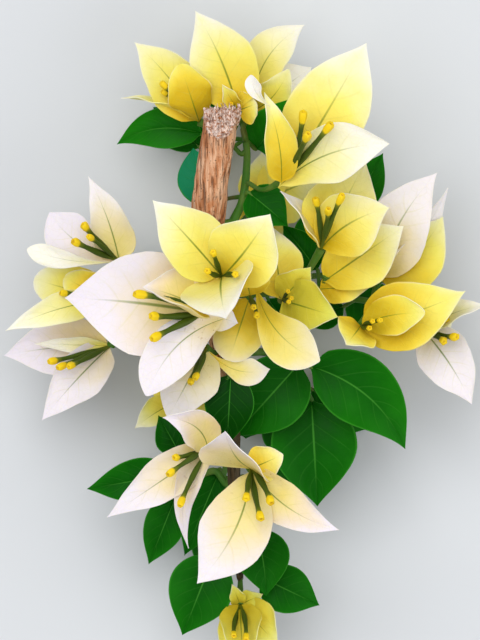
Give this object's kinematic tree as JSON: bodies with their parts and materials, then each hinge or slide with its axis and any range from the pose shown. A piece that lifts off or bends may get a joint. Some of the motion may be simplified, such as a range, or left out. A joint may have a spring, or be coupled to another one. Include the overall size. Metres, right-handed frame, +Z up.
{
  "type": "flowering bougainvillea branch",
  "caption": "Cut flowering branch lying on its back: a woody stem with a torn end, leafy shoots, and papery three-bract blooms round slim flower tubes.",
  "frame": {"origin": "centre of the bounding box on the floor that the branch lies on", "axes": "+Y from the tip of the branch to its torn woody end, +Z up out of the floor on which it lies on its back, +X to the right of a viewer who looks down with the torn end at the top"},
  "size_m": [0.1739, 0.2364, 0.11],
  "materials": {
    "bark": "dry fibrous bark, pale torn wood at the broken end",
    "leafy_green": "deep green leaves, half gloss, paler veins",
    "yellow_bracts": "thin papery bracts, golden at the base and pale yellow at the tip, satin",
    "cream_bracts": "thin papery bracts, cream to faintly lilac white, satin"
  },
  "bodies": {
    "root": {"bloom_back_left": "yellow_bracts", "bloom_back_top": "yellow_bracts", "bloom_centre": "yellow_bracts", "bloom_centre_right": "yellow_bracts", "bloom_far_right": "cream_bracts", "bloom_front": "yellow_bracts", "bloom_front_left": "cream_bracts", "bloom_left": "cream_bracts", "bloom_left_low": "cream_bracts", "bloom_left_mid": "yellow_bracts", "bloom_low": "cream_bracts", "bloom_low_left": "cream_bracts", "bloom_lower_left": "yellow_bracts", "bloom_mid_right": "yellow_bracts", "bloom_right": "yellow_bracts", "bloom_right_open": "yellow_bracts", "bloom_right_pale": "cream_bracts", "bloom_tip": "yellow_bracts", "bloom_top": "yellow_bracts", "bloom_top_left": "yellow_bracts", "bloom_top_right": "cream_bracts", "bloom_upper_right": "cream_bracts", "shoot_back_left": "leafy_green", "shoot_back_low": "leafy_green", "shoot_back_middle": "leafy_green", "shoot_back_right": "leafy_green", "shoot_back_top": "leafy_green", "shoot_front": "leafy_green", "shoot_left": "leafy_green", "shoot_low_end": "leafy_green", "shoot_low_left": "leafy_green", "shoot_low_right": "leafy_green", "shoot_lower_right": "leafy_green", "shoot_right": "leafy_green", "shoot_upper": "leafy_green", "stem": "bark"}
  },
  "joints": []
}
